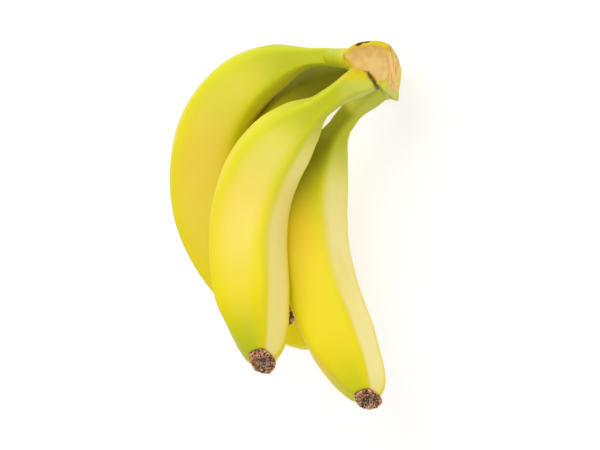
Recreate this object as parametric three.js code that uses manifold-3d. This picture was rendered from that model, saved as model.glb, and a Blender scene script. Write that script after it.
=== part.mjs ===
// A bunch of four bananas cut from the stalk, lying on a level surface. Millimetres, +Z up.
//
// Each banana is drawn first as a straight turned body and then bent along its own middle line.
// The bunch is laid out as it hangs, X to the right, Z up, with the crown at the top, and is then
// turned as a whole until it lies on three supports: two bananas and the back of the crown.
import * as THREE from "three";
import { mergeVertices } from "three/addons/utils/BufferGeometryUtils.js";
import Module from "manifold-3d";

// ---------------------------------------------------------------- driving dimensions

const jointGap = 0.3; // left between two solids that grow together
const bananaGap = 0.4; // least room between neighbouring bananas
const bedding = 0.5; // how far the peel flattens where the bunch rests

// One entry for each banana. root is where its middle line starts to bend, and lead is how far the
// neck runs straight back from there into the crown. heading turns the root about Y from +X,
// forward leans it towards -Y, and roll turns its bending plane. The three bends are the neck, the
// body and the tip, in degrees, and twist turns the ridges from end to end. The radii are the
// widest part's, the thin neck's, the root's inside the crown and the tip's.
const bananas = {
  front: {
    root: [25.5, -42.7, 66.8],
    lead: 13,
    heading: 208.6,
    forward: -26.7,
    roll: 4.4,
    bends: [14, 67.7, 0.2],
    twist: 40.1,
    length: 160.7,
    bodyRadius: 19,
    neckRadius: 5.6,
    rootRadius: 5.4,
    tipRadius: 5.7,
  },
  right: {
    root: [32.6, -16.5, 63],
    lead: 12,
    heading: 218.2,
    forward: -36.5,
    roll: 28.9,
    bends: [36, 61.8, 0.1],
    twist: 7.7,
    length: 172.2,
    bodyRadius: 17.6,
    neckRadius: 5.4,
    rootRadius: 5.2,
    tipRadius: 5.6,
  },
  back: {
    root: [37.2, 1.4, 74.7],
    lead: 1,
    heading: 155.9,
    forward: -40.4,
    roll: -8.5,
    bends: [50.1, 75.5, 0],
    twist: 1.9,
    length: 164.3,
    bodyRadius: 15.6,
    neckRadius: 4.9,
    rootRadius: 6,
    tipRadius: 5.1,
  },
  left: {
    root: [33.4, -9.4, 79.3],
    lead: 3,
    heading: 158.3,
    forward: -19,
    roll: -20.1,
    bends: [45.5, 102.4, 21.7],
    twist: -10.7,
    length: 241.6,
    bodyRadius: 18.9,
    neckRadius: 4.6,
    rootRadius: 6.3,
    tipRadius: 5.1,
  },
};

// Girth along a banana: its root and neck radii, shares of bodyRadius, and its tip radius.
const girthStations = [0, 0.12, 0.22, 0.32, 0.45, 0.62, 0.78, 0.9, 0.97, 1];
const girthShares = [0.62, 0.86, 0.97, 1, 0.95, 0.79, 0.6];
const bendStations = [0, 0.25, 0.8, 1]; // where the neck's, the body's and the tip's bends end
const ridgeCount = 5;
const ridgeRise = 0.02; // share of the radius, between the ridges and the facets
const ridgeStart = 90; // degrees from the inside of the curve to the first ridge

const lineSteps = 60; // steps along a middle line
const bodySteps = 30; // rings along a banana
const neckSteps = 6; // rings along a neck inside the crown
const bodySides = 20;
const swingRounds = 200; // small swings allowed to find a banana's place
const swingSlack = 0.05; // how far past bananaGap each swing aims
const levelRounds = 12; // rounds to find the level plane under the bunch
const roughlyDown = [0.62, 0.77, 0.12]; // the way the bunch lies down, before levelling
const weld = 1e-4; // vertices closer than this are one

// The crown: the cushion of stalk that the necks grow from, cut flat in front.
const crown = {
  cutCentre: [33, -49, 77],
  depthAxis: [0.1, 0.98, -0.1], // from the cut face to the back
  depth: 54,
  bevel: 1.8,
  trim: 0.1, // shaved off the front, so that the whole cut is one flat face
  neckLength: 23, // how much of each neck belongs to the crown
  // outline of the cut face from its left point, clockwise, as X and Z from cutCentre
  outline: [
    [-12, 3.8],
    [-8.5, 7],
    [-3.8, 8.3],
    [4.7, 8.5],
    [9.4, 6.6],
    [11, 3.8],
    [9.2, -7.5],
    [4, -9.4],
    [0.5, -6.6],
    [-7.6, -1.9],
  ],
};

const blossomEnd = {
  length: 5,
  flare: 1.12, // the widest ring as a share of the tip radius
  flareAt: 0.6, // its place as a share of the length
  waist: 0.92,
  hollow: 1.8, // depth of the hollow in its middle
  hollowFloor: 0.5, // its floor as a share of the tip radius
  sides: 14,
};

const colours = {
  peel: 0xf0dc14,
  crown: 0xd8b868,
  blossomEnd: 0x6b4423,
};

// ---------------------------------------------------------------- curves

const wasm = await Module();
wasm.setup();

// A smooth line through values at given stations that never overshoots them.
function smoothThrough(stations, values) {
  const last = stations.length - 1;
  const step = stations.slice(1).map((s, i) => s - stations[i]);
  const rise = step.map((h, i) => (values[i + 1] - values[i]) / h);
  const endSlope = (h0, h1, r0, r1) => {
    const slope = ((2 * h0 + h1) * r0 - h0 * r1) / (h0 + h1);
    if (Math.sign(slope) !== Math.sign(r0)) return 0;
    if (Math.sign(r0) !== Math.sign(r1) && Math.abs(slope) > 3 * Math.abs(r0)) return 3 * r0;
    return slope;
  };
  const slopes = stations.map((s, i) => {
    if (i === 0) return endSlope(step[0], step[1], rise[0], rise[1]);
    if (i === last) return endSlope(step[last - 1], step[last - 2], rise[last - 1], rise[last - 2]);
    if (rise[i - 1] * rise[i] <= 0) return 0;
    const before = 2 * step[i] + step[i - 1];
    const after = step[i] + 2 * step[i - 1];
    return (before + after) / (before / rise[i - 1] + after / rise[i]);
  });
  return (t) => {
    let i = 0;
    while (i < last - 1 && t > stations[i + 1]) i++;
    const u = (t - stations[i]) / step[i];
    const v = 1 - u;
    return (
      values[i] * v * v * (1 + 2 * u) +
      values[i + 1] * u * u * (1 + 2 * v) +
      step[i] * u * v * (slopes[i] * v - slopes[i + 1] * u)
    );
  };
}

// The frame at a banana's root: along it, towards the inside of its curve, and across.
function rootFrame({ heading, forward, roll }) {
  const [h, f, r] = [heading, forward, roll].map(THREE.MathUtils.degToRad);
  const along = new THREE.Vector3(Math.cos(f) * Math.cos(h), -Math.sin(f), Math.cos(f) * Math.sin(h));
  const side = new THREE.Vector3(-Math.sin(h), 0, Math.cos(h));
  const inward = side.clone().applyAxisAngle(along, r);
  return { along, inward };
}

// A banana's middle line as a list of places, each with its point and frame.
function middleLine(banana) {
  const { along, inward } = rootFrame(banana);
  const [neck, body, tip] = banana.bends.map(THREE.MathUtils.degToRad);
  const bendAt = smoothThrough(bendStations, [0, neck, neck + body, neck + body + tip]);
  const twistStep = THREE.MathUtils.degToRad(banana.twist) / lineSteps;
  const stride = banana.length / lineSteps;
  const point = new THREE.Vector3(...banana.root);
  const places = [{ point: point.clone(), along: along.clone(), inward: inward.clone() }];
  for (let i = 1; i <= lineSteps; i++) {
    const bend = bendAt(i / lineSteps) - bendAt((i - 1) / lineSteps);
    const across = new THREE.Vector3().crossVectors(along, inward);
    point.addScaledVector(along.clone().applyAxisAngle(across, bend / 2), stride);
    along.applyAxisAngle(across, bend);
    inward.applyAxisAngle(across, bend).applyAxisAngle(along, twistStep);
    places.push({ point: point.clone(), along: along.clone(), inward: inward.clone() });
  }
  return places;
}

// The place at any length along a middle line, which runs straight on past both its ends.
function placeAt(finger, length) {
  const last = finger.line.length - 1;
  const at = THREE.MathUtils.clamp((length / finger.length) * last, 0, last);
  const i = Math.min(Math.floor(at), last - 1);
  const [a, b] = [finger.line[i], finger.line[i + 1]];
  const point = a.point.clone().lerp(b.point, at - i);
  const along = a.along.clone().lerp(b.along, at - i).normalize();
  const inward = a.inward.clone().lerp(b.inward, at - i);
  inward.addScaledVector(along, -inward.dot(along)).normalize();
  point.addScaledVector(along, Math.min(length, 0) + Math.max(length - finger.length, 0));
  return { point, inward, across: new THREE.Vector3().crossVectors(along, inward) };
}

// ---------------------------------------------------------------- layout

function layOut(name, banana) {
  const shares = girthShares.map((share) => share * banana.bodyRadius);
  const values = [banana.rootRadius, banana.neckRadius, ...shares, banana.tipRadius];
  return { name, ...banana, line: middleLine(banana), radiusAt: smoothThrough(girthStations, values) };
}

// The tightest spot between two bananas outside the crown.
function tightest(finger, other) {
  const spot = { room: Infinity };
  const free = (f) => Math.ceil((crown.neckLength / f.length) * lineSteps);
  for (let i = free(finger); i <= lineSteps; i++) {
    const mine = finger.line[i].point;
    for (let j = free(other); j <= lineSteps; j++) {
      const theirs = other.line[j].point;
      const radii = finger.radiusAt(i / lineSteps) + other.radiusAt(j / lineSteps);
      const room = mine.distanceTo(theirs) - radii;
      if (room < spot.room) Object.assign(spot, { room, mine, away: mine.clone().sub(theirs).normalize() });
    }
  }
  return spot;
}

// Swings a banana about its root until it lies clear of those already in place.
function swingClear(finger, placed) {
  const root = finger.line[0].point.clone();
  for (let i = 0; i < swingRounds; i++) {
    const spots = placed.map((other) => tightest(finger, other));
    const worst = spots.reduce((a, b) => (b.room < a.room ? b : a), { room: Infinity });
    if (worst.room >= bananaGap) return;
    const arm = worst.mine.clone().sub(root);
    const axis = arm.clone().cross(worst.away).normalize();
    const angle = (bananaGap - worst.room + swingSlack) / arm.length();
    for (const place of finger.line) {
      place.point.sub(root).applyAxisAngle(axis, angle).add(root);
      place.along.applyAxisAngle(axis, angle);
      place.inward.applyAxisAngle(axis, angle);
    }
  }
}

// ---------------------------------------------------------------- solids

function toSolid(geometry) {
  const bare = geometry.clone();
  bare.deleteAttribute("normal");
  bare.deleteAttribute("uv");
  const merged = mergeVertices(bare, weld);
  return new wasm.Manifold(
    new wasm.Mesh({
      numProp: 3,
      vertProperties: new Float32Array(merged.attributes.position.array),
      triVerts: new Uint32Array(merged.index.array),
    }),
  );
}

function toGeometry(solid) {
  const { vertProperties, triVerts } = solid.getMesh();
  const geometry = new THREE.BufferGeometry();
  geometry.setAttribute("position", new THREE.BufferAttribute(vertProperties, 3));
  geometry.setIndex(new THREE.BufferAttribute(triVerts, 1));
  geometry.computeVertexNormals();
  return geometry;
}

function ridgeAt(angle) {
  return 1 - ridgeRise + ridgeRise * Math.cos(ridgeCount * (angle - THREE.MathUtils.degToRad(ridgeStart)));
}

// Bends a turned body, whose axis is Y, along a finger's middle line.
function bendAlong(geometry, finger, ridged) {
  const position = geometry.attributes.position;
  for (let i = 0; i < position.count; i++) {
    const [x, length, z] = [position.getX(i), position.getY(i), position.getZ(i)];
    const angle = Math.atan2(x, z);
    const radius = Math.hypot(x, z) * (ridged ? ridgeAt(angle) : 1);
    const { point, inward, across } = placeAt(finger, length);
    point.addScaledVector(inward, radius * Math.cos(angle));
    point.addScaledVector(across, radius * Math.sin(angle));
    position.setXYZ(i, point.x, point.y, point.z);
  }
  return geometry;
}

// A stretch of a banana, from one length along it to another, closed by flat ends.
function stretchOf(finger, from, to, steps) {
  const profile = [new THREE.Vector2(0, from)];
  for (let i = 0; i <= steps; i++) {
    const length = from + ((to - from) * i) / steps;
    profile.push(new THREE.Vector2(finger.radiusAt(Math.max(length / finger.length, 0)), length));
  }
  profile.push(new THREE.Vector2(0, to));
  return bendAlong(new THREE.LatheGeometry(profile, bodySides), finger, true);
}

function bananaGeometry(finger) {
  return stretchOf(finger, crown.neckLength + jointGap, finger.length, bodySteps);
}

function blossomEndGeometry(finger) {
  const { length, flare, flareAt, waist, hollow, hollowFloor, sides } = blossomEnd;
  const start = finger.length + jointGap;
  const radius = finger.tipRadius;
  const profile = [
    [0, 0],
    [radius * waist, 0],
    [radius * flare, length * flareAt],
    [radius, length],
    [radius * hollowFloor, length - hollow],
    [0, length - hollow],
  ];
  const points = profile.map(([r, l]) => new THREE.Vector2(r, start + l));
  return bendAlong(new THREE.LatheGeometry(points, sides), finger, false);
}

// The crown's own frame: right, rise and to the front, with its origin at a depth behind the cut.
function crownFrame(behind) {
  const back = new THREE.Vector3(...crown.depthAxis).normalize();
  const toFront = back.clone().negate();
  const right = new THREE.Vector3(0, 0, 1).cross(toFront).normalize();
  const rise = toFront.clone().cross(right);
  const origin = new THREE.Vector3(...crown.cutCentre).addScaledVector(back, behind);
  return new THREE.Matrix4().makeBasis(right, rise, toFront).setPosition(origin);
}

// The block of the crown, its cut face in front and a bevelled skin edge around it.
function crownBlock() {
  const { depth, bevel, outline } = crown;
  const shape = new THREE.Shape(outline.map(([x, z]) => new THREE.Vector2(x, z)));
  const block = new THREE.ExtrudeGeometry(shape, {
    depth: depth - 2 * bevel,
    bevelThickness: bevel,
    bevelSize: bevel,
    bevelSegments: 2,
    curveSegments: 1,
  });
  return block.applyMatrix4(crownFrame(depth - bevel));
}

// Everything in front of the cut.
function knifeSide() {
  const size = 2 * crown.depth;
  const box = new THREE.BoxGeometry(size, size, size).translate(0, 0, size / 2);
  return box.applyMatrix4(crownFrame(crown.trim));
}

function crownGeometry(fingers) {
  const neckOf = (finger) => stretchOf(finger, -finger.lead, crown.neckLength, neckSteps);
  const necks = fingers.map((finger) => toSolid(neckOf(finger)));
  const solid = necks.reduce((whole, neck) => whole.add(neck), toSolid(crownBlock()));
  return toGeometry(solid.subtract(toSolid(knifeSide())));
}

// ---------------------------------------------------------------- lying down

// The turn that brings the lowest points of three supports onto one level plane.
function turnToRest(supports) {
  const down = new THREE.Vector3(...roughlyDown).normalize();
  const lowest = (points) => points.reduce((a, b) => (b.dot(down) > a.dot(down) ? b : a));
  for (let i = 0; i < levelRounds; i++) {
    const feet = supports.map(lowest);
    const next = feet[1].clone().sub(feet[0]).cross(feet[2].clone().sub(feet[0])).normalize();
    down.copy(next.dot(down) < 0 ? next.negate() : next);
  }
  const up = down.clone().negate();
  const ahead = new THREE.Vector3(0, 0, 1);
  ahead.addScaledVector(up, -ahead.dot(up)).normalize();
  const right = ahead.clone().cross(up);
  return new THREE.Matrix4().makeBasis(right, ahead, up).transpose();
}

function pointsOf(geometry) {
  const position = geometry.attributes.position;
  const pointAt = (_, i) => new THREE.Vector3().fromBufferAttribute(position, i);
  return Array.from({ length: position.count }, pointAt);
}

// Cuts away what would sink into the surface, which leaves the flat patches that it rests on.
function restOnSurface(geometry) {
  geometry.computeBoundingBox();
  if (geometry.boundingBox.min.z >= 0) return geometry;
  const size = 1000;
  const surface = new THREE.BoxGeometry(size, size, size).translate(0, 0, -size / 2);
  return toGeometry(toSolid(geometry).subtract(toSolid(surface)));
}

// ---------------------------------------------------------------- the bunch

const fingers = [];
for (const [name, banana] of Object.entries(bananas)) {
  const finger = layOut(name, banana);
  swingClear(finger, fingers);
  fingers.push(finger);
}

const pieces = new Map([["crown", { geometry: crownGeometry(fingers), kind: "crown" }]]);
for (const finger of fingers) {
  pieces.set(`banana_${finger.name}`, { geometry: bananaGeometry(finger), kind: "peel" });
  pieces.set(`blossom_end_${finger.name}`, { geometry: blossomEndGeometry(finger), kind: "blossomEnd" });
}

const standsOn = ["banana_back", "banana_left", "crown"];
const rest = turnToRest(standsOn.map((name) => pointsOf(pieces.get(name).geometry)));
const box = new THREE.Box3();
for (const { geometry } of pieces.values()) {
  geometry.applyMatrix4(rest);
  geometry.computeBoundingBox();
  box.union(geometry.boundingBox);
}
const middle = box.getCenter(new THREE.Vector3());

const finishes = {
  peel: new THREE.MeshStandardMaterial({ color: colours.peel, roughness: 0.45, metalness: 0 }),
  crown: new THREE.MeshStandardMaterial({ color: colours.crown, roughness: 0.7, metalness: 0 }),
  blossomEnd: new THREE.MeshStandardMaterial({ color: colours.blossomEnd, roughness: 0.9, metalness: 0 }),
};

const bunch = new THREE.Group();
for (const [name, { geometry, kind }] of pieces) {
  geometry.translate(-middle.x, -middle.y, -box.min.z - bedding);
  const mesh = new THREE.Mesh(restOnSurface(geometry), finishes[kind].clone());
  mesh.name = name;
  bunch.add(mesh);
}

export default bunch;
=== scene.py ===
import math

import bpy
import numpy as np
from mathutils import Matrix, Vector, noise


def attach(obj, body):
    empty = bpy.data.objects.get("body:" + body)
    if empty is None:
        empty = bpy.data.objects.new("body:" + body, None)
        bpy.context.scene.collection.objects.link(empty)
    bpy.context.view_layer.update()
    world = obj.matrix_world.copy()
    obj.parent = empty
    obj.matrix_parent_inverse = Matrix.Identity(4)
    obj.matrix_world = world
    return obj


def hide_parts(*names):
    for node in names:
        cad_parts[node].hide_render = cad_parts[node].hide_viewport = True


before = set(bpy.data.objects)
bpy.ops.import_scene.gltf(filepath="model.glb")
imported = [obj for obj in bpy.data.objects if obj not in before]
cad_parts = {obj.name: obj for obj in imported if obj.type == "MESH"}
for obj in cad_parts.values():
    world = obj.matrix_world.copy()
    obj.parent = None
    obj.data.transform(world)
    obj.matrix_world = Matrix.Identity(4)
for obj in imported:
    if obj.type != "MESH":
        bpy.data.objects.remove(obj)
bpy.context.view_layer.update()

mm = 0.001


# curves and places

# The bunch is drawn hanging, in mm, X right, Y away, Z up, and laid down as a whole at the end.
# down is the way the surface lies from there, middle is what becomes the origin, and bedding is
# how much of the fruit is flattened where it rests.
lying = {
    "down": (0.6412, 0.75766, 0.12172),
    "middle": (-10.483, 1.006, -44.05),
    "bedding": 0.5,
}

# root is where the neck leaves the crown, and lead how far it reaches on inside. heading, forward
# and roll are its direction there, bends are neck, body and tip, twist is over the whole length.
# neck, thin, body and tip are radii. ridges are degrees round the fruit from the inside of its
# curve, one for each soft corner, sharp is how crisp they are, and ridgeTurn how far they turn
# near the neck. pale is the bloom and painted sheen on the facet after each ridge: partly real
# waxy bloom, partly painted sheen, most of all where it is over 1. tipFacing is the way the flower
# end looks, tipShift how far it leans out. tipGreen is how unripe the tip is. darkNeck is how much
# of the shade between the fruit is painted on the neck, on its darkSide, and 0 leaves it to the
# lights. spread is how far the neck's colour runs on the crown.
bananas = {
    "front": {
        "root": (25.5, -42.7, 66.8), "lead": 13, "heading": 208.6, "forward": -26.7, "roll": 4.4,
        "bends": (14, 67.7, 0.2), "twist": 40.1, "length": 160.7,
        "neck": 5.4, "thin": 5.6, "body": 19, "tip": 5.7,
        "ridges": (17, 98, 170, 238, 308), "ridgeTurn": 60, "sharp": 13,
        "pale": (0.8, 0.4, 0.5, 1.6, 1.6), "tipFacing": (-0.1, -0.76, -0.64), "tipShift": (1.2, 0, -0.6),
        "tipGreen": 0.9, "spread": 2.5, "darkNeck": 0, "darkSide": (-1, 0, 0),
    },
    "right": {
        "root": (32.6, -16.5, 63), "lead": 12, "heading": 218.2, "forward": -36.5, "roll": 28.9,
        "bends": (36, 61.8, 0.1), "twist": 7.7, "length": 172.2,
        "neck": 5.2, "thin": 5.4, "body": 17.6, "tip": 5.5,
        "ridges": (23, 100, 172, 240, 308), "ridgeTurn": 60, "sharp": 13,
        "pale": (0.12, 0.35, 0.5, 1.7, 1.8), "tipFacing": (-0.02, -0.76, -0.65), "tipShift": (0.8, 0, 0),
        "tipGreen": 0.6, "spread": 2.5, "darkNeck": 0.75, "darkSide": (-0.8, 0, -0.2),
    },
    "back": {
        "root": (37.2, 1.4, 74.7), "lead": 1, "heading": 155.9, "forward": -40.4, "roll": -8.5,
        "bends": (50.1, 75.5, 0), "twist": 1.9, "length": 164.3,
        "neck": 6.6, "thin": 6.4, "body": 16.4, "tip": 6.2,
        "ridges": (14, 86, 158, 230, 302), "ridgeTurn": 0, "sharp": 12,
        "pale": (0.3, 0.3, 0.5, 0.5, 0.3), "tipFacing": (0.55, -0.55, -0.63), "tipShift": (2.8, 0, -3.2),
        "tipGreen": 0.5, "spread": 2.5, "darkNeck": 0.9, "darkSide": (0, -1, 0.25),
    },
    "left": {
        "root": (33.4, -9.4, 79.3), "lead": 3, "heading": 158.3, "forward": -19, "roll": -20.1,
        "bends": (45.5, 102.4, 21.7), "twist": -10.7, "length": 241.6,
        "neck": 6.3, "thin": 4.6, "body": 19.3, "tip": 5.1,
        "ridges": (26, 121, 190, 252, 312), "ridgeTurn": 90, "sharp": 8,
        "pale": (0.42, 0.1, 0.5, 0.5, 0.2), "tipFacing": (0.85, -0.4, -0.35), "tipShift": (0, 0, 0),
        "tipGreen": 0, "spread": 5, "darkNeck": 0, "darkSide": (-1, 0, 0),
    },
}

girth = {
    "stations": (0, 0.12, 0.22, 0.32, 0.45, 0.62, 0.78, 0.9, 0.97, 1),  # shares of the length
    "shares": (0.62, 0.86, 0.97, 1, 0.95, 0.77, 0.53),  # of the body's radius, between thin and tip
    "bendStations": (0, 0.25, 0.8, 1),  # where the bends of neck, body and tip start and end
    "flatness": 0.45,  # of the facets
    "fullness": 1.03,
    "ridgeWidth": 0.24,
    "turnUntil": 0.45,  # share of the length where the ridges stop turning
    "tipReach": 32,  # length over which the fruit turns to its tipFacing
    "tipLean": 30,  # and over which it leans out
    "lineSteps": 240,
    "rings": 200,
    "sides": 80,
}

# each neck is made in two pieces, the first of them fused into the crown
neckJoint = {
    "length": 23.0,  # of neck that belongs to the crown
    "gap": 0.3,
    "overlap": 2,  # the peel starts this far inside the crown's end
    "tuck": 0.12,  # and this much thinner
    "tuckLength": 1.6,
    "crownTuck": (1.9, 0.6),  # the crown's end thins as much, between these lengths before the joint
}


def smoothStep(x, low, high):
    t = np.clip((x - low) / (high - low), 0, 1)
    return t * t * (3 - 2 * t)


def bell(x):
    return np.exp(-(x ** 2))


def unit(v):
    v = np.array(v, float)
    return v / np.linalg.norm(v, axis=-1, keepdims=True)


def smoothThrough(stations, values):
    # monotone cubic through the stations
    x, y = np.array(stations, float), np.array(values, float)
    step = np.diff(x)
    rise = np.diff(y) / step

    def endSlope(h0, h1, r0, r1):
        slope = ((2 * h0 + h1) * r0 - h0 * r1) / (h0 + h1)
        if np.sign(slope) != np.sign(r0):
            return 0.0
        if np.sign(r0) != np.sign(r1) and abs(slope) > 3 * abs(r0):
            return 3 * r0
        return slope

    slopes = np.zeros(len(x))
    slopes[0] = endSlope(step[0], step[1], rise[0], rise[1])
    slopes[-1] = endSlope(step[-1], step[-2], rise[-1], rise[-2])
    for i in range(1, len(x) - 1):
        if rise[i - 1] * rise[i] > 0:
            before = 2 * step[i] + step[i - 1]
            after = step[i] + 2 * step[i - 1]
            slopes[i] = (before + after) / (before / rise[i - 1] + after / rise[i])

    def at(t):
        t = np.clip(np.asarray(t, float), x[0], x[-1])
        i = np.clip(np.searchsorted(x, t) - 1, 0, len(x) - 2)
        u = (t - x[i]) / step[i]
        v = 1 - u
        return (
            y[i] * v * v * (1 + 2 * u) + y[i + 1] * u * u * (1 + 2 * v)
            + step[i] * u * v * (slopes[i] * v - slopes[i + 1] * u)
        )

    return at


def turned(v, axis, angle):
    axis = unit(axis)
    return (
        v * math.cos(angle) + np.cross(axis, v) * math.sin(angle)
        + axis * np.dot(axis, v) * (1 - math.cos(angle))
    )


def angleGap(angle, other):
    return np.abs((angle - other + math.pi) % (2 * math.pi) - math.pi)


def spokesOf(inward, across, angles):
    # ways out from each place on a middle line, at angles round it
    return inward[:, None] * np.cos(angles)[:, None] + across[:, None] * np.sin(angles)[:, None]


def roundAngles(sides):
    return np.linspace(0, 2 * math.pi, sides, endpoint=False)


class Finger:
    # a banana's middle line with its frames, and its girth
    def __init__(self, name, spec):
        self.name, self.spec = name, spec
        h, f, r = (math.radians(spec[k]) for k in ("heading", "forward", "roll"))
        along = np.array([math.cos(f) * math.cos(h), -math.sin(f), math.cos(f) * math.sin(h)])
        inward = turned(np.array([-math.sin(h), 0, math.cos(h)]), along, r)
        neck, body, tip = (math.radians(b) for b in spec["bends"])
        bendAt = smoothThrough(girth["bendStations"], (0, neck, neck + body, neck + body + tip))
        steps = girth["lineSteps"]
        point = np.array(spec["root"], float)
        points, alongs, inwards = [point], [along], [inward]
        for i in range(1, steps + 1):
            bend = float(bendAt(i / steps) - bendAt((i - 1) / steps))
            across = np.cross(along, inward)
            point = point + turned(along, across, bend / 2) * spec["length"] / steps
            along = turned(along, across, bend)
            inward = turned(turned(inward, across, bend), along, math.radians(spec["twist"]) / steps)
            points.append(point)
            alongs.append(along)
            inwards.append(inward)
        self.length = spec["length"]
        self.points, self.alongs, self.inwards = map(np.array, (points, alongs, inwards))
        shares = [spec["body"] * s for s in girth["shares"]]
        self.radiusAt = smoothThrough(girth["stations"], [spec["neck"], spec["thin"], *shares, spec["tip"]])

    def placeAt(self, length):
        # point and frame at lengths along the line, straight on past both ends
        length = np.asarray(length, float)
        at = np.clip(length / self.length, 0, 1) * girth["lineSteps"]
        i = np.minimum(at.astype(int), girth["lineSteps"] - 1)
        w = (at - i)[..., None]
        point = self.points[i] * (1 - w) + self.points[i + 1] * w
        along = unit(self.alongs[i] * (1 - w) + self.alongs[i + 1] * w)
        inward = self.inwards[i] * (1 - w) + self.inwards[i + 1] * w
        inward = unit(inward - along * (inward * along).sum(-1, keepdims=True))
        past = np.minimum(length, 0) + np.maximum(length - self.length, 0)
        lean = smoothStep(length, self.length - girth["tipLean"], self.length)[..., None]
        point = point + along * past[..., None] + lean * self.spec["tipShift"]
        return point, along, inward, np.cross(along, inward)

    def slant(self, length, along, offset):
        # how far along a place at this offset moves, so the last rings turn to face tipFacing
        facing = np.array(self.spec["tipFacing"])
        weight = smoothStep(length, self.length - girth["tipReach"], self.length)
        return -weight * (offset @ facing) / (along @ facing)

    def ridgeAngle(self, angle, length):
        # the angle as if the ridges ran straight
        early = np.maximum(girth["turnUntil"] - length / self.length, 0)
        return angle - math.radians(self.spec["ridgeTurn"]) * early

    def eachFacet(self):
        # the middle and half the width of the facet after each ridge
        edges = [math.radians(a) for a in self.spec["ridges"]]
        return [((a + b) / 2, (b - a) / 2) for a, b in zip(edges, edges[1:] + [edges[0] + 2 * math.pi])]

    def facets(self, angle):
        # radius share round the fruit: flat facets between soft ridges
        p = self.spec["sharp"]
        total = np.zeros_like(angle)
        for middle, half in self.eachFacet():
            reach = math.cos(half) * girth["flatness"] + 1 - girth["flatness"]
            total += np.maximum(np.cos(angle - middle) / reach, 1e-3) ** p
        return girth["fullness"] * total ** (-1 / p)

    def ridgeAt(self, angle):
        near = np.zeros_like(angle)
        for a in self.spec["ridges"]:
            gap = angleGap(angle, math.radians(a))
            near = np.maximum(near, bell(gap / girth["ridgeWidth"]))
        return near

    def paleAt(self, angle):
        # bloom and painted sheen in the middle of each facet, over the ridges too where it is strong:
        # partly real waxy bloom, partly painted sheen
        pale = np.zeros_like(angle)
        for (middle, half), strength in zip(self.eachFacet(), self.spec["pale"]):
            wide = 0.2 if strength > 1 else 0
            pale += strength * (1 - smoothStep(angleGap(angle, middle) / half, 0.35 + wide, 1 + wide * 0.9))
        return pale

    def darkAt(self, share, outward):
        # painted shade: olive on one side of the neck, which stays there in any light and view
        side = smoothStep(outward @ np.array(self.spec["darkSide"]), -0.2, 0.4)
        return self.spec["darkNeck"] * (1 - smoothStep(share, 0.2, 0.45)) * side

    def nearest(self, places):
        # length along the line, distance from it and angle round it, for many places
        probes, batch = 260, 4000
        lengths = np.linspace(-self.spec["lead"], self.length, probes)
        line, along, inward, across = self.placeAt(lengths)
        best = np.empty(len(places), int)
        for start in range(0, len(places), batch):
            part = places[start:start + batch]
            best[start:start + batch] = ((part[:, None] - line[None]) ** 2).sum(2).argmin(1)
        offset = places - line[best]
        slide = (offset * along[best]).sum(1)
        flat = offset - along[best] * slide[:, None]
        angle = np.arctan2((flat * across[best]).sum(1), (flat * inward[best]).sum(1))
        return lengths[best] + slide, np.linalg.norm(flat, axis=1), angle


fingers = {name: Finger(name, spec) for name, spec in bananas.items()}


def layingTurn():
    up = -unit(lying["down"])
    ahead = unit(np.array([0, 0, 1]) - up * up[2])
    return np.array([np.cross(ahead, up), ahead, up])


turn = layingTurn()
toSurface = np.array(lying["middle"]) + (0, 0, lying["bedding"])


def layDown(places):
    # hanging mm to metres on the surface, flattened where the fruit rests
    out = np.asarray(places) @ turn.T - toSurface
    out[..., 2] = np.maximum(out[..., 2], 0)
    return out * mm


# meshes

def meshPiece(name, places, faces, shades=None):
    mesh = bpy.data.meshes.new(name)
    mesh.from_pydata([tuple(p) for p in places], [], [tuple(int(i) for i in f) for f in faces])
    mesh.update()
    for polygon in mesh.polygons:
        polygon.use_smooth = True
    for label, values in (shades or {}).items():
        layer = mesh.attributes.new(label, "FLOAT", "POINT")
        layer.data.foreach_set("value", np.asarray(values, np.float32))
    piece = bpy.data.objects.new(name, mesh)
    bpy.context.collection.objects.link(piece)
    return piece


def ringFaces(rings, sides):
    # quads between closed rings, with the first and last vertex as caps' middles
    faces = []
    for r in range(rings - 1):
        for s in range(sides):
            a, b = r * sides + s, r * sides + (s + 1) % sides
            faces.append((a, b, b + sides, a + sides))
    first, last = rings * sides, rings * sides + 1
    for s in range(sides):
        faces.append((first, (s + 1) % sides, s))
        top = (rings - 1) * sides
        faces.append((last, top + s, top + (s + 1) % sides))
    return faces


def softNoise(places, size, seed):
    # one noise value in -1..1 for each place, size in mm
    shift = Vector((seed * 17.3, seed * 7.1, seed * 3.7))
    return np.array([noise.noise(Vector(p) / size + shift) for p in places])


def sweepSurface(finger, lengths, angles, widen=1.0):
    # the peel's surface over a grid of lengths and angles
    point, along, inward, across = finger.placeAt(lengths)
    straight = finger.ridgeAngle(angles[None], lengths[:, None])
    radius = (finger.radiusAt(lengths / finger.length) * widen)[:, None] * finger.facets(straight)
    offset = spokesOf(inward, across, angles) * radius[..., None]
    slide = np.array([finger.slant(n, a, o) for n, a, o in zip(lengths, along, offset)])
    return point[:, None] + offset + along[:, None] * slide[..., None]


def capped(places, sides):
    # the places of closed rings, then the middles of the first and last ring
    return np.vstack([places, np.mean(places[:sides], 0), np.mean(places[-sides:], 0)])


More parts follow.
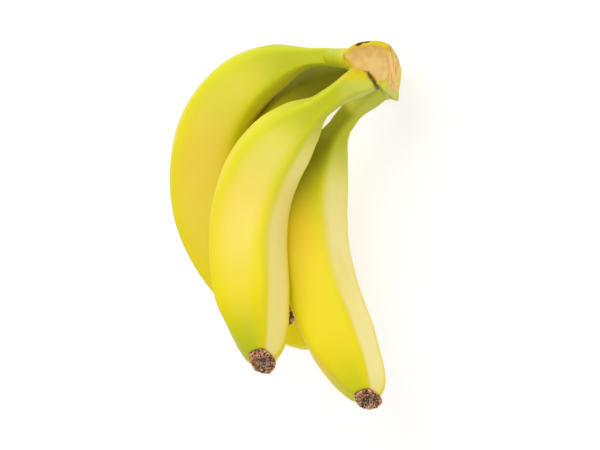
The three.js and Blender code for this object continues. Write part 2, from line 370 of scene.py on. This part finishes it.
def makeBanana(finger):
    sides, rings = girth["sides"], girth["rings"]
    start = neckJoint["length"] + neckJoint["gap"] - neckJoint["overlap"]
    lengths = np.linspace(start, finger.length, rings)
    angles = roundAngles(sides)
    flat = sweepSurface(finger, lengths, angles).reshape(-1, 3)
    straight = finger.ridgeAngle(angles[None], lengths[:, None]).ravel()
    length = np.repeat(lengths, sides)
    share = length / finger.length
    outward = unit(flat - np.repeat(finger.placeAt(lengths)[0], sides, 0))
    # slow waves so that no ring is quite round, none near the joint with the crown
    sway = softNoise(flat, 24, 1 + len(finger.name)) * 0.35 + softNoise(flat, 9, 4) * 0.1
    sway *= smoothStep(length, neckJoint["length"], neckJoint["length"] + 12)
    tuck = neckJoint["tuck"] * (1 - smoothStep(length, start, start + neckJoint["tuckLength"]))
    unripe = smoothStep(share, 0.78, 1.02) ** 2.2 * smoothStep(-outward[:, 0], -0.5, 0.6)
    places = capped(flat + outward * (sway - tuck)[:, None], sides)
    return meshPiece(
        "peel_" + finger.name, layDown(places), ringFaces(rings, sides),
        {
            "along": np.append(share, (start / finger.length, 1)),
            "ridge": np.append(finger.ridgeAt(straight), (0, 0)),
            "pale": np.append(finger.paleAt(straight), (0, 0)),
            "green": np.append(finger.spec["tipGreen"] * unripe, (0, 0)),
            "deep": np.append(finger.darkAt(share, outward), (0, 0)),
        },
    )


# shading helpers

class Wire:
    # a node's output with arithmetic
    def __init__(self, graph, socket):
        self.graph, self.socket = graph, socket

    def combine(self, operation, first, second):
        return self.graph.add("ShaderNodeMath", {"operation": operation}, {0: first, 1: second})

    def __add__(self, other):
        return self.combine("ADD", self, other)

    def __radd__(self, other):
        return self.combine("ADD", other, self)

    def __sub__(self, other):
        return self.combine("SUBTRACT", self, other)

    def __rsub__(self, other):
        return self.combine("SUBTRACT", other, self)

    def __mul__(self, other):
        return self.combine("MULTIPLY", self, other)

    def __rmul__(self, other):
        return self.combine("MULTIPLY", other, self)


class Graph:
    # one material's nodes
    def __init__(self, name):
        self.material = bpy.data.materials.new(name)
        self.material.use_nodes = True
        self.tree = self.material.node_tree
        self.tree.nodes.clear()

    def add(self, kind, settings=None, values=None, out=0):
        node = self.tree.nodes.new(kind)
        for key, value in (settings or {}).items():
            if key == "stops":
                self.setStops(node, value)
            else:
                setattr(node, key, value)
        for key, value in (values or {}).items():
            socket = node.inputs[key]
            if isinstance(value, Wire):
                self.tree.links.new(value.socket, socket)
            else:
                socket.default_value = value
        return Wire(self, node.outputs[out]) if node.outputs else node

    def setStops(self, node, stops):
        ramp = node.color_ramp
        ramp.interpolation = "EASE"
        while len(ramp.elements) < len(stops):
            ramp.elements.new(0.5)
        for element, (position, colour) in zip(ramp.elements, stops):
            element.position = position
            element.color = colour

    def ramp(self, value, stops):
        return self.add("ShaderNodeValToRGB", {"stops": stops}, {0: value})

    def attribute(self, label):
        return self.add("ShaderNodeAttribute", {"attribute_name": label}, out=2)

    def mix(self, factor, first, second):
        return self.add("ShaderNodeMix", {"data_type": "RGBA"}, {0: factor, 6: first, 7: second}, out=2)

    def noise(self, scale, detail=3, rough=0.5):
        where = self.add("ShaderNodeTexCoord", out=3)
        values = {"Vector": where, "Scale": scale, "Detail": detail, "Roughness": rough}
        return self.add("ShaderNodeTexNoise", {}, values)

    def between(self, value, low, high):
        # 0 below low, 1 above high, smooth between
        settings = {"interpolation_type": "SMOOTHSTEP"}
        return self.add("ShaderNodeMapRange", settings, {0: value, 1: low, 2: high})

    def bump(self, height, strength, distance, normal=None):
        values = {"Height": height, "Strength": strength, "Distance": distance}
        if normal is not None:
            values["Normal"] = normal
        return self.add("ShaderNodeBump", {}, values)

    def finish(self, values):
        shader = self.add("ShaderNodeBsdfPrincipled", {}, values)
        self.add("ShaderNodeOutputMaterial", {}, {"Surface": shader})
        return self.material


def rgb(r, g, b):
    # screen colour to linear, with a full alpha
    linear = ((c / 255 / 12.92) if c < 11 else ((c / 255 + 0.055) / 1.055) ** 2.4 for c in (r, g, b))
    return (*linear, 1)


# peel

peelLook = {
    "neck": rgb(190, 194, 24),
    "shoulder": rgb(222, 214, 16),
    "body": rgb(241, 213, 16),
    "warm": rgb(243, 202, 8),
    "low": rgb(232, 213, 8),
    "tip": rgb(178, 190, 6),
    "ridge": rgb(216, 216, 8),
    # cream of the bloom, partly painted sheen
    "bloomAndSheen": rgb(246, 232, 160),
    "speck": rgb(120, 84, 20),
    # olive of the painted shade on the necks
    "deep": rgb(122, 118, 14),
}

peelGloss = {"Coat Weight": 0.03, "Coat Roughness": 0.3, "IOR": 1.3}
peelShades = ("along", "ridge", "pale", "green", "deep")


def peelColour(g, along, ridge, pale, green, deep):
    # green at both ends, yellow between, cloudy bloom with painted sheen on the facets, greener ridges,
    # painted shade on the necks
    drift = g.noise(24, 2) - 0.5
    place = along + drift * 0.05 + ridge * -0.03
    base = g.ramp(place, [
        (0.0, peelLook["neck"]), (0.16, peelLook["neck"]), (0.3, peelLook["shoulder"]),
        (0.46, peelLook["body"]), (0.78, peelLook["low"]),
    ])
    warmth = g.between(g.noise(17, 2), 0.48, 0.68) * g.between(along, 0.3, 0.5)
    warmed = g.mix(warmth * 0.55, base, peelLook["warm"])
    ridged = g.mix(ridge * (1 - g.between(along, 0.5, 0.9)) * 0.5, warmed, peelLook["ridge"])
    cloud = g.between(g.noise(30, 3), 0.25, 0.6)
    # the palest facet keeps its bloom and painted sheen to the flower end, the others lose it half way
    strong = g.between(pale, 0.5, 1.7)
    fading = (1 - g.between(along, 0.55, 0.85)) * (1 - strong) + strong
    bloomAndSheen = pale * (cloud * 0.35 + 0.65) * g.between(along, 0.14, 0.34) * fading
    withBloomAndSheen = g.mix(bloomAndSheen * 0.45, ridged, peelLook["bloomAndSheen"])
    # painted shade: deep olive on the necks where deep is set
    darkened = g.mix(deep, withBloomAndSheen, peelLook["deep"])
    unripe = g.mix(green * (drift * 0.8 + 1), darkened, peelLook["tip"])
    specks = g.between(g.noise(420, 2), 0.7, 0.76) * g.between(along, 0.965, 0.99)
    return g.mix(specks * 0.8, unripe, peelLook["speck"])


def peelBump(g):
    soft = g.bump(g.noise(150, 3), 0.07, 0.0006)
    return g.bump(g.noise(900, 2), 0.05, 0.0002, soft)


def makePeel():
    g = Graph("peel")
    along, ridge, pale, green, deep = (g.attribute(label) for label in peelShades)
    return g.finish({
        "Base Color": peelColour(g, along, ridge, pale, green, deep),
        "Roughness": g.noise(120, 3) * 0.12 + deep * 0.4 + 0.48,
        "Normal": peelBump(g),
        **peelGloss,
    })


peel = makePeel()
for finger in fingers.values():
    piece = makeBanana(finger)
    piece.data.materials.append(peel)
    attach(piece, "root")
    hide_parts("banana_" + finger.name)
print("bananas made")


# The crown is drawn in its own frame: right and rise across the cut face from cutCentre, depth
# behind it. outline is the whole stalk's section, flesh the pale cut part of it, side by side
# with the end face on the right, where the hand was torn from its neighbour.
crown = {
    "cutCentre": (33, -49, 77),
    "depthAxis": (0.1, 0.98, -0.1),
    "depth": 54,
    "front": -3,  # the block starts before the cut, which then trims it flat
    "skin": 1.8,  # how far the block swells behind the cut, over swellDepth
    "swellDepth": 7,
    "roundedBack": 9,
    "outline": (
        (-12, 3.8), (-8.5, 7.2), (-4.5, 9), (1, 9.4), (5.2, 9.2), (9.4, 6.8), (11.5, 4),
        (9.8, -7.5), (4, -9.4), (0.5, -6.6), (-7.6, -1.9),
    ),
    "flesh": (
        (-11.5, 3), (-9.2, 5.4), (-6.6, 6.5), (-3.4, 7.5), (1, 7.4), (3.8, 7.3), (6.4, 6.3), (9.2, 5.4),
        (9.2, -5.7), (7.3, -8.6), (3.8, -9.3), (1.5, -6.9), (-0.3, -4.5), (-3.4, -3.6), (-5.2, -2.8),
        (-7.8, -1.4), (-10.5, 0.4),
    ),
    "endPoint": (41.9, -49, 77),
    "endFacing": (0.955, -0.296, 0.0),
    "endSteps": (0, 2, 7, 13, 30),  # depths, and its lower edge at each
    "endFeet": (-6.5, -9.4, -11.2, -11.7, -9),
    "endTop": 4.6,
    "endFade": (24, 32),  # depths over which its torn flesh gives way to skin
    "flap": ((4.3, -8), (15.2, -8), (15.2, -16.2), (10.7, -15.6), (7.1, -14.4), (4.8, -12.4)),
    "flapDepth": 22,
    "neckFlare": 0.32,  # how much wider the necks start, from and to these lengths
    "flareEnds": (-4, 13),
    "webStart": (26, -43, 79.2),  # folds of skin run from here to these lengths of the left neck
    "webEnds": (6, 11, 16, 21),
    "webReach": (5, 4.2),
    "spots": ((-13.3, 2.4, 1.5), (-5.9, -3.1, 1.7), (8.8, 6.2, 1.7), (4.8, -9, 1)),  # across, up, size
    # crevices are creases pushed in a little and painted dark brown as shade
    # X and Z in front, then how wide and how deep
    "crevices": (
        (((32.3, 71.6), (33.5, 69.8), (35.8, 66.2), (38.2, 62.5)), 1.3, 18),
        (((27.2, 85.2), (29.4, 86.6), (32.4, 86.8)), 0.9, 3.5),
    ),
    "edgeWidth": 0.7,  # of the brown line round the cut
    "rimCurl": 0.25,
    "fibreDepth": 0.6,
    "creviceDepth": 1.7,
    "voxel": 0.62,
    "smoothRounds": 7,
}


def crownAxes():
    back = unit(crown["depthAxis"])
    right = unit(np.cross((0, 0, 1), -back))
    return back, right, np.cross(-back, right)


def resampled(outline, count):
    # an outline in even steps, its corners a little softer
    points = np.array(outline, float)
    closed = np.vstack([points, points[:1]])
    walked = np.append(0, np.cumsum(np.linalg.norm(np.diff(closed, axis=0), axis=1)))
    at = np.linspace(0, walked[-1], count, endpoint=False)
    line = np.stack([np.interp(at, walked, closed[:, k]) for k in (0, 1)], 1)
    return (np.roll(line, 1, 0) + line * 2 + np.roll(line, -1, 0)) / 4


def crownBlock():
    sides, rings = 60, 24
    back, right, rise = crownAxes()
    line = resampled(crown["outline"], sides)
    outward = unit(line)
    depths = np.linspace(crown["front"], crown["depth"], rings)
    places = []
    for depth in depths:
        swell = crown["skin"] * min((depth - crown["front"]) / crown["swellDepth"], 1)
        close = max(1 - (crown["depth"] - depth) / crown["roundedBack"], 0)
        ring = line + outward * (swell - crown["roundedBack"] * close ** 2)
        centre = np.array(crown["cutCentre"]) + back * depth
        places += [centre + right * x + rise * z for x, z in ring]
    ends = [np.array(crown["cutCentre"]) + back * depth for depth in (depths[0], depths[-1])]
    return np.vstack([places, ends]), ringFaces(rings, sides)


def crownFlap():
    # the tongue of skin under the end face
    sides, rings = 40, 16
    back, right, rise = crownAxes()
    line = resampled(crown["flap"], sides)
    centre = line.mean(0)
    places = []
    for depth in np.linspace(0, crown["flapDepth"], rings):
        left = max(1 - (crown["flapDepth"] - depth) / 6, 0)
        ring = centre + (line - centre) * (1 - 0.45 * left ** 2)
        places += [np.array(crown["cutCentre"]) + back * depth + right * x + rise * z for x, z in ring]
    return capped(places, sides), ringFaces(rings, sides)


def crownWeb(length):
    # one fold of skin, to this length of the left neck
    sides, rings = 32, 24
    first, last = np.array(crown["webStart"], float), fingers["left"].placeAt(length)[0]
    way = unit(last - first)
    level = unit(np.cross(way, (0, 0, 1)))
    spokes = spokesOf(level[None], np.cross(level, way)[None], roundAngles(sides))[0]
    places = []
    for share in np.linspace(0, 1, rings):
        reach = crown["webReach"][0] * (1 - share) + crown["webReach"][1] * share
        places.append(first + (last - first) * share + spokes * reach)
    return capped(np.vstack(places), sides), ringFaces(rings, sides)


def neckStub(finger):
    sides, rings = 48, 30
    lengths = np.linspace(-finger.spec["lead"], neckJoint["length"], rings)
    flare = crown["neckFlare"] * (1 - smoothStep(lengths, *crown["flareEnds"]))
    grid = sweepSurface(finger, lengths, roundAngles(sides), 1 + flare)
    return capped(grid.reshape(-1, 3), sides), ringFaces(rings, sides)


def fuse(parts, voxel, smoothRounds):
    # one closed mesh from overlapping closed ones
    places, faces, start = [], [], 0
    for part, quads in parts:
        places.append(part)
        faces += [tuple(i + start for i in f) for f in quads]
        start += len(part)
    piece = meshPiece("fusing", np.vstack(places), faces)
    remesh = piece.modifiers.new("remesh", "REMESH")
    remesh.mode = "VOXEL"
    remesh.voxel_size = voxel
    smooth = piece.modifiers.new("smooth", "SMOOTH")
    smooth.factor = 0.5
    smooth.iterations = smoothRounds
    done = piece.evaluated_get(bpy.context.evaluated_depsgraph_get()).to_mesh()
    out = np.array([v.co[:] for v in done.vertices])
    quads = [tuple(p.vertices) for p in done.polygons]
    bpy.data.objects.remove(piece)
    return out, quads


def distanceTo(points, line):
    # how far each flat point lies from a line with corners
    line = np.asarray(line, float)
    away = np.full(len(points), np.inf)
    for a, b in zip(line[:-1], line[1:]):
        along = np.clip(((points - a) @ (b - a)) / ((b - a) @ (b - a)), 0, 1)
        away = np.minimum(away, np.linalg.norm(points - a - along[:, None] * (b - a), axis=1))
    return away


def insideBy(points, polygon):
    # how far each flat point lies inside a polygon, negative outside
    closed = np.array([*polygon, polygon[0]], float)
    inside = np.zeros(len(points), bool)
    for a, b in zip(closed[:-1], closed[1:]):
        crosses = (a[1] > points[:, 1]) != (b[1] > points[:, 1])
        slope = (b[0] - a[0]) / ((b[1] - a[1]) or 1e-9)
        inside ^= crosses & (points[:, 0] < a[0] + (points[:, 1] - a[1]) * slope)
    away = distanceTo(points, closed)
    return np.where(inside, away, -away)


def seatOnNecks(places):
    # the far parts of the necks go onto the peel's own surface, and the nearest neck gives the shades
    shades = {label: np.zeros(len(places)) for label in (*peelShades, "neck")}
    closest = np.full(len(places), np.inf)
    thinFrom, thinTo = (neckJoint["length"] - before for before in neckJoint["crownTuck"])
    for finger in fingers.values():
        length, distance, angle = finger.nearest(places)
        straight = finger.ridgeAngle(angle, length)
        share = np.maximum(length, 0) / finger.length
        radius = finger.radiusAt(share) * finger.facets(straight)
        weight = bell((distance - radius) / 1.2) * smoothStep(length, 13, 18)
        radius = radius - neckJoint["tuck"] * smoothStep(length, thinFrom, thinTo)
        point, _, inward, across = finger.placeAt(length)
        spoke = inward * np.cos(angle)[:, None] + across * np.sin(angle)[:, None]
        places = places + (point + spoke * radius[:, None] - places) * weight[:, None]
        away = places - point
        away /= np.linalg.norm(away, axis=1, keepdims=True) + 1e-9
        mine = np.abs(distance - radius) < closest
        closest = np.minimum(closest, np.abs(distance - radius))
        own = {
            "along": share,
            "ridge": finger.ridgeAt(straight),
            "pale": finger.paleAt(straight),
            # deep is the necks' painted shade, carried onto the crown's stubs
            "deep": finger.darkAt(length / finger.length, away) * smoothStep(length, 4, 14),
        }
        for label, values in own.items():
            shades[label] = np.where(mine, values, shades[label])
        near = bell(np.maximum(distance - radius, 0) / finger.spec["spread"]) * smoothStep(length, 2, 15)
        shades["neck"] = np.maximum(near, shades["neck"])
    return places, shades


def makeCrown():
    parts = [crownBlock(), crownFlap()] + [crownWeb(length) for length in crown["webEnds"]]
    parts += [neckStub(finger) for finger in fingers.values()]
    places, faces = fuse(parts, crown["voxel"], crown["smoothRounds"])
    places, shades = seatOnNecks(places)
    back, right, rise = crownAxes()
    cutCentre = np.array(crown["cutCentre"], float)
    endWay = unit(crown["endFacing"])
    free = 1 - smoothStep(shades["neck"], 0.3, 0.8)

    # both faces are trimmed flat
    fromCut = (places - cutCentre) @ -back
    places = places + np.outer(np.maximum(fromCut, 0), back)
    fromEnd = (places - crown["endPoint"]) @ endWay
    places = places - np.outer(np.maximum(fromEnd, 0), endWay)
    local = np.stack([(places - cutCentre) @ right, (places - cutCentre) @ rise], 1)
    depth = (places - cutCentre) @ back
    # the folds turn green where they meet the left neck
    shades["neck"] = np.maximum(shades["neck"], smoothStep(-local[:, 0], 10, 19))

    # the flesh of the cut face, with a wandering edge
    wander = softNoise(places, 3.2, 21) * 0.8 + softNoise(places, 1.3, 8) * 0.35
    inCut = insideBy(local, crown["flesh"]) + wander
    onCut = smoothStep(fromCut, -1.2, -0.2)
    # it melts into the skin at its left, and is crisp at its right
    melt = 0.8 + 1.6 * (1 - smoothStep(local[:, 0], -9, 0))
    flesh = smoothStep(inCut / melt, -1, 1) * onCut
    low, high = np.interp(depth, crown["endSteps"], crown["endFeet"]), crown["endTop"]
    onEnd = smoothStep(fromEnd, -6, -3.5) * (1 - smoothStep(depth, *crown["endFade"]))
    tall = smoothStep(local[:, 1], low - 0.5, low + 0.5) * (1 - smoothStep(local[:, 1], high, high + 1.5))
    end = onEnd * tall * free * (1 - onCut * (1 - smoothStep(fromEnd, -0.7, 0)))
    # the brown line round both, stronger where it is dry
    edge = bell(inCut / crown["edgeWidth"]) * smoothStep(fromCut, -2.5, -0.5)
    edge = np.maximum(edge, bell((end - 0.5) / 0.32) * smoothStep(fromEnd, -2.5, -0.5) * free)
    frayed = 0.75 + softNoise(places, 1.6, 31) * 0.5
    # painted shade: dark lines along the crevices, fading out behind them
    crevice = np.zeros(len(places))
    for line, wide, deep in crown["crevices"]:
        away = distanceTo(places[:, [0, 2]], line)
        dark = bell(away / (wide * frayed)) * (1 - smoothStep(depth, deep - 2.5, deep + 1.5))
        crevice = np.maximum(crevice, dark * (1 - flesh * 0.6))
    for x, z, size in crown["spots"]:
        away = np.hypot(local[:, 0] - x, local[:, 1] - z) / (size * (frayed + 0.4))
        edge = np.maximum(edge, bell(away) * smoothStep(fromCut, -9, -2))

    # relief: fibres up the end face, faint grain on the cut, rim curling over it
    fibre = softNoise(places * (1, 1, 0.16), 1.15, 5) + softNoise(places * (1, 1, 0.2), 0.6, 6) * 0.5
    grain = softNoise(places, 2.4, 9) * 0.22 + softNoise(places, 1, 3) * 0.12
    places = places + endWay * ((fibre - 0.5) * crown["fibreDepth"] * end)[:, None]
    places = places - back * ((grain - 0.45) * flesh)[:, None]
    places = places - back * (edge * crown["rimCurl"] * onCut)[:, None]
    places = places + back * (crevice * crown["creviceDepth"])[:, None]

    shades.update({
        "flesh": flesh, "end": end, "edge": edge, "crevice": crevice,
        "fibre": fibre * 0.5 + 0.5, "flap": 1 - smoothStep(local[:, 1], -11, -7),
    })
    return meshPiece("stalkCrown", layDown(places), faces, shades)


crownLook = {
    "flesh": rgb(210, 166, 88),
    "fleshLight": rgb(226, 190, 116),
    "fleshWarm": rgb(214, 160, 76),
    "endDark": rgb(220, 150, 62),
    "endLight": rgb(244, 206, 122),
    "skin": rgb(212, 196, 18),
    "skinGreen": rgb(196, 198, 66),
    "brown": rgb(122, 64, 18),
    "orange": rgb(216, 150, 16),
    # dark brown of the painted shade in the crevices
    "crevice": rgb(92, 54, 20),
}


def makeStalk():
    g = Graph("stalk")
    along, ridge, pale, green, deep = (g.attribute(label) for label in peelShades)
    crownShades = ("neck", "flesh", "end", "edge", "crevice", "fibre", "flap")
    neck, flesh, end, edge, crevice, fibre, flap = (g.attribute(label) for label in crownShades)
    patches = g.between(g.noise(110, 4), 0.36, 0.62)
    cutFlesh = g.mix(patches, crownLook["flesh"], crownLook["fleshLight"])
    warmed = g.mix(g.between(g.noise(75, 3), 0.5, 0.7) * 0.6, cutFlesh, crownLook["fleshWarm"])
    endFlesh = g.mix(g.between(fibre, 0.3, 0.6), crownLook["endDark"], crownLook["endLight"])
    skin = g.mix(flap, crownLook["skin"], crownLook["skinGreen"])
    peeled = peelColour(g, along, ridge, pale, green, deep)
    onNeck = g.mix(g.between(neck, 0.15, 0.85), skin, peeled)
    dry = g.between(g.noise(95, 3), 0.44, 0.6)
    spots = g.between(g.noise(210, 3), 0.5, 0.62)
    rimmed = g.mix(edge * 0.75, onNeck, crownLook["orange"])
    withCut = g.mix(flesh, rimmed, warmed)
    withEnd = g.mix(end, withCut, endFlesh)
    dried = g.mix(edge * dry * spots, withEnd, crownLook["brown"])
    # painted shade in the crevices
    colour = g.mix(crevice, dried, crownLook["crevice"])
    grain = g.bump(g.noise(520, 4), 0.3, 0.0004, peelBump(g))
    dull = flesh * 0.2 + end * 0.2 + deep * 0.35 + 0.46
    return g.finish({
        "Base Color": colour,
        "Roughness": g.noise(90, 2) * 0.12 + dull,
        "Normal": grain,
        **peelGloss,
    })


stalk = makeStalk()
crownPiece = makeCrown()
crownPiece.data.materials.append(stalk)
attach(crownPiece, "root")
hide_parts("crown")
print("crown made,", len(crownPiece.data.vertices), "points")


# The dried flower end: a short torn ring folded in to a hollow, shreds all round it.
# wall is how far along and how wide, as shares of length and of the tip's radius.
blossom = {
    "length": 2.6,
    "gap": 0.3,
    "wall": (
        (0, 0.98), (0.3, 1.04), (0.6, 1.06), (0.85, 1.0), (1, 0.88), (0.97, 0.74), (0.8, 0.6),
        (0.45, 0.46), (0.1, 0.34), (-0.1, 0.18), (-0.1, 0.04),
    ),
    "sides": 150,
    "rings": 90,
    "fray": 0.55,
}


def makeBlossomEnd(finger, seed):
    sides, rings = blossom["sides"], blossom["rings"]
    wall = np.array(blossom["wall"])
    walked = np.append(0, np.cumsum(np.linalg.norm(np.diff(wall, axis=0), axis=1)))
    walked /= walked[-1]
    at = np.linspace(0, 1, rings)
    heights = np.interp(at, walked, wall[:, 0]) * blossom["length"]
    reach = np.interp(at, walked, wall[:, 1]) * finger.spec["tip"]
    angles = roundAngles(sides)
    point, along, inward, across = finger.placeAt(finger.length + blossom["gap"] + heights)
    spokes = spokesOf(inward, across, angles)
    reach = reach[:, None] * (0.45 + 0.55 * finger.facets(angles))[None]
    offset = spokes * reach[..., None]
    slide = finger.slant(finger.length, along[0], offset)
    flat = (point[:, None] + offset + along[:, None] * slide[..., None]).reshape(-1, 3)
    spokes, alongs = spokes.reshape(-1, 3), np.repeat(along, sides, 0)
    rim = bell((np.repeat(at, sides) - 0.45) / 0.2)
    start = np.repeat(smoothStep(at, 0.0, 0.1), sides)
    inside = np.repeat(smoothStep(at, 0.5, 0.75), sides)
    # lumps make the ring uneven, torn shreds lie across it this way and that
    lumps = softNoise(flat, 3, seed + 4)
    bent = flat + np.stack([softNoise(flat, 2.2, seed + k) for k in (1, 2, 3)], 1) * 2.4
    shreds = 1 - np.abs(softNoise(bent * (1, 1, 0.45), 1.25, seed + 6)) * 3
    crumbs = softNoise(flat, 0.55, seed + 2)
    push = (lumps * 0.9 + shreds * 0.35 + crumbs * 0.5) * blossom["fray"] * start
    flat = flat + spokes * (push * 0.5)[:, None] + alongs * (push * (0.6 + rim))[:, None]
    return meshPiece(
        "driedEnd_" + finger.name, layDown(capped(flat, sides)), ringFaces(rings, sides),
        {
            "hollow": np.append(inside, (0, 1)),
            "shred": np.append(shreds * 0.5 + crumbs * 0.4 + 0.25, (0.5, 0.5)),
            "rim": np.append(rim, (0, 0)),
            "foot": np.append(1 - np.repeat(smoothStep(at, 0.03, 0.16), sides), (1, 0)),
        },
    )


driedLook = {
    "dark": rgb(92, 50, 26),
    "red": rgb(160, 98, 64),
    "pale": rgb(214, 166, 128),
    "rust": rgb(192, 92, 34),
    "hollow": rgb(58, 42, 28),
    "ash": rgb(196, 176, 142),
}


def makeDriedFlower():
    g = Graph("driedFlower")
    hollow, shred, rim, foot = (g.attribute(name) for name in ("hollow", "shred", "rim", "foot"))
    fine = g.noise(760, 5, rough=0.65)
    picked = shred * 0.6 + fine * 0.4
    outer = g.mix(g.between(picked, 0.36, 0.52), driedLook["dark"], driedLook["red"])
    torn = g.mix(g.between(picked, 0.45, 0.6), outer, driedLook["pale"])
    rusty = g.mix(g.between(g.noise(190, 2), 0.56, 0.68) * 0.7, torn, driedLook["rust"])
    inner = g.mix(g.between(picked, 0.46, 0.66), driedLook["hollow"], driedLook["ash"])
    folded = g.mix(hollow * 0.85, rusty, inner)
    colour = g.mix(foot * 0.8, folded, driedLook["dark"])
    rough = g.bump(fine, 0.8, 0.0005)
    return g.finish({"Base Color": colour, "Roughness": fine * 0.3 + rim * 0.05 + 0.6, "Normal": rough})


driedFlower = makeDriedFlower()
for number, finger in enumerate(fingers.values()):
    piece = makeBlossomEnd(finger, 11 + number * 7)
    piece.data.materials.append(driedFlower)
    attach(piece, "root")
    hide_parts("blossom_end_" + finger.name)
print("blossom ends made")


# stage

studio = {
    "distance": 876.0,
    "seen": 300.0,  # mm across the picture at the bunch
    "floorSize": 6.0,  # m
    "floorTones": (0.32, 0.34),
    "floorGlow": 0.72,
    "roomGlow": 0.75,
    # where each light stands and what it looks at, then its size in m and its power in W
    "lights": {
        "keyLeft": ((-500, -650, 520), (0, 0, 0), 0.8, 4.2),
        "fillRight": ((800, -250, 150), (20, 0, 0), 0.5, 4),
    },
}


def hangPoint(x, y, z):
    return Vector(np.array([x, y, z]) @ turn.T - toSurface) * mm


def hangAxis(x, y, z):
    return Vector(np.array([x, y, z], float) @ turn.T)


def makeCamera():
    data = bpy.data.cameras.new("camera")
    data.sensor_width = 36
    data.lens = data.sensor_width * studio["distance"] / studio["seen"]
    data.clip_start, data.clip_end = 0.05, 20
    camera = bpy.data.objects.new("camera", data)
    bpy.context.collection.objects.link(camera)
    right, up, back = hangAxis(1, 0, 0), hangAxis(0, 0, 1), hangAxis(0, -1, 0)
    camera.matrix_world = Matrix((
        (right.x, up.x, back.x, 0), (right.y, up.y, back.y, 0), (right.z, up.z, back.z, 0), (0, 0, 0, 1),
    ))
    camera.location = hangPoint(0, -studio["distance"], 0)
    bpy.context.scene.camera = camera


def makeFloor():
    half = studio["floorSize"] / 2
    corners = [(-half, -half, 0), (half, -half, 0), (half, half, 0), (-half, half, 0)]
    floor = meshPiece("floor", corners, [(0, 1, 2, 3)])
    g = Graph("floor")
    dark, light = ((tone, tone, tone, 1) for tone in studio["floorTones"])
    floor.data.materials.append(g.finish({
        "Base Color": g.mix(g.noise(3, 2), dark, light),
        "Roughness": 0.9,
        "Emission Color": (1, 1, 1, 1),
        "Emission Strength": studio["floorGlow"],
    }))


def areaLight(name, spot, aim, size, power):
    data = bpy.data.lights.new(name, "AREA")
    data.shape = "DISK"
    data.size = size
    data.energy = power
    light = bpy.data.objects.new(name, data)
    bpy.context.collection.objects.link(light)
    light.location = hangPoint(*spot)
    way = hangPoint(*aim) - light.location
    light.rotation_euler = way.to_track_quat("-Z", "Y").to_euler()


def makeLights():
    for name, settings in studio["lights"].items():
        areaLight(name, *settings)
    world = bpy.data.worlds.new("studio")
    world.use_nodes = True
    background = world.node_tree.nodes["Background"]
    background.inputs["Color"].default_value = (1, 1, 1, 1)
    background.inputs["Strength"].default_value = studio["roomGlow"]
    bpy.context.scene.world = world


makeCamera()
makeFloor()
makeLights()
bpy.context.scene.view_settings.view_transform = "Standard"
print("stage set")
